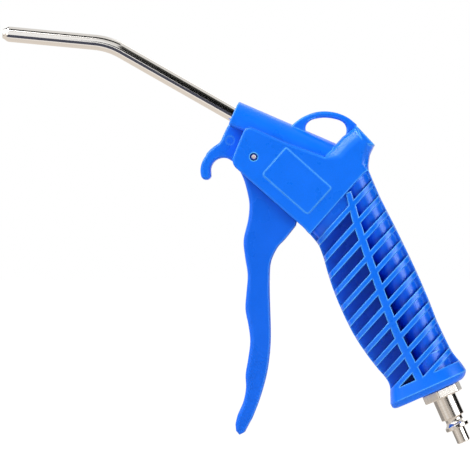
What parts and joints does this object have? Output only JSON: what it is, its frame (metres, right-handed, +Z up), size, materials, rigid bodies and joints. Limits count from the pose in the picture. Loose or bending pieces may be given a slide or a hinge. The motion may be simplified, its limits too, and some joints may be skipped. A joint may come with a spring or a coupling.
{
  "type": "pneumatic air duster",
  "caption": "Compressed-air blow gun with a bent metal nozzle tube, a ribbed plastic grip with a hanging eye, a hinged pull lever and a quick-coupling inlet plug.",
  "frame": {"origin": "on the inlet plug's axis, at the shoulder where its nose meets the underside of the locking flange", "axes": "+X from the nozzle's tip towards the grip's rear, +Y across the tool to its left side, +Z up with the tool as the picture shows it; the plug's axis leans 24 degrees from Z in the XZ plane"},
  "size_m": [0.2437, 0.0298, 0.2175],
  "materials": {
    "body_plastic": "moulded polyamide, satin gloss, bright blue",
    "lever_plastic": "moulded polyamide, satin gloss, bright blue",
    "nozzle_nickel": "nickel-plated drawn tube, bright",
    "plug_nickel": "nickel-plated turned steel, satin bright",
    "pin_steel": "ground steel",
    "spring_steel": "drawn stainless steel wire and sheet",
    "brass": "turned brass",
    "seal_rubber": "moulded nitrile rubber, matt black"
  },
  "bodies": {
    "handle": {"body": "body_plastic", "pivot_pin": "pin_steel", "nozzle_tube": "nozzle_nickel", "nozzle_bush": "brass", "nozzle_seal": "seal_rubber", "valve_cap": "brass", "cap_seal": "seal_rubber", "valve_spring": "spring_steel", "valve_seat": "brass", "seat_seal": "seal_rubber", "stem_seal": "seal_rubber", "stem_guide": "brass", "inlet_insert": "brass", "inlet_washer": "seal_rubber", "inlet_plug": "plug_nickel"},
    "lever": {"trigger": "lever_plastic"},
    "stem": {"valve_stem": "pin_steel", "poppet": "brass", "poppet_seal": "seal_rubber", "poppet_clip": "spring_steel"}
  },
  "joints": [
    {"name": "trigger_pull", "type": "hinge", "parent": "handle", "child": "lever", "pos_m": [-0.10578, 0, 0.14096], "axis": [0, -1, 0], "range_deg": [0, 8], "stiffness_Nm_per_rad": 2.8, "springref_deg": -2.86},
    {"name": "valve_push", "type": "slide", "parent": "handle", "child": "stem", "axis": [0.7278, 0, 0.6858], "range_m": [0, 0.0045], "deforming": ["valve_spring"]}
  ],
  "couplings": [
    {"joint": "valve_push", "follows": "trigger_pull", "m_per_rad": 0.031428}
  ]
}
